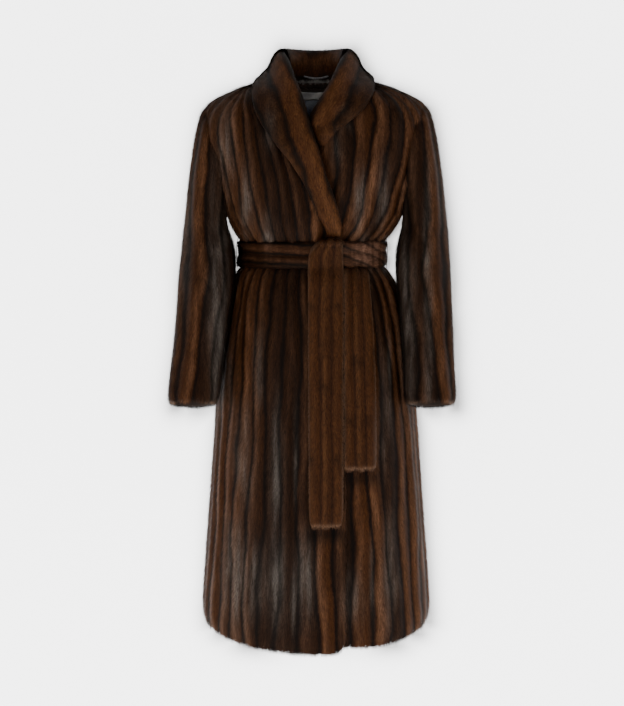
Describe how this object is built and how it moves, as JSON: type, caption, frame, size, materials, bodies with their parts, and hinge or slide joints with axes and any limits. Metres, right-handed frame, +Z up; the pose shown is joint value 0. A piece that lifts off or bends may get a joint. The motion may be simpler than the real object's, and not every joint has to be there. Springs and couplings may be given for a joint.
{
  "type": "faux fur wrap coat",
  "caption": "Long wrap coat in striped brown faux fur with a shawl collar, long sleeves and a tied waist belt, hollow and filled out as if worn.",
  "frame": {"origin": "middle of the coat at the height of the neck's base, where the coat hangs from the wearer's shoulders", "axes": "+Z up, the front faces -Y, the wearer's left side is +X"},
  "size_m": [0.5597, 0.3664, 1.1731],
  "materials": {
    "fur": "deep faux fur in wavy pelt stripes, brown with near-black grooves and a cool sheen",
    "belt_fur": "the same faux fur, a little warmer and shorter",
    "satin": "smooth grey satin lining",
    "label": "blank woven label, near black",
    "thread": "dark twisted cord"
  },
  "bodies": {
    "root": {"back": "fur", "right_front": "fur", "left_front": "fur", "sleeve_right": "fur", "sleeve_left": "fur", "collar": "fur", "belt_waist": "belt_fur", "belt_end_long": "belt_fur", "belt_end_short": "belt_fur", "belt_loop_right": "thread", "belt_loop_left": "thread", "back_lining": "satin", "label": "label", "hanger_loop": "thread"}
  },
  "joints": []
}
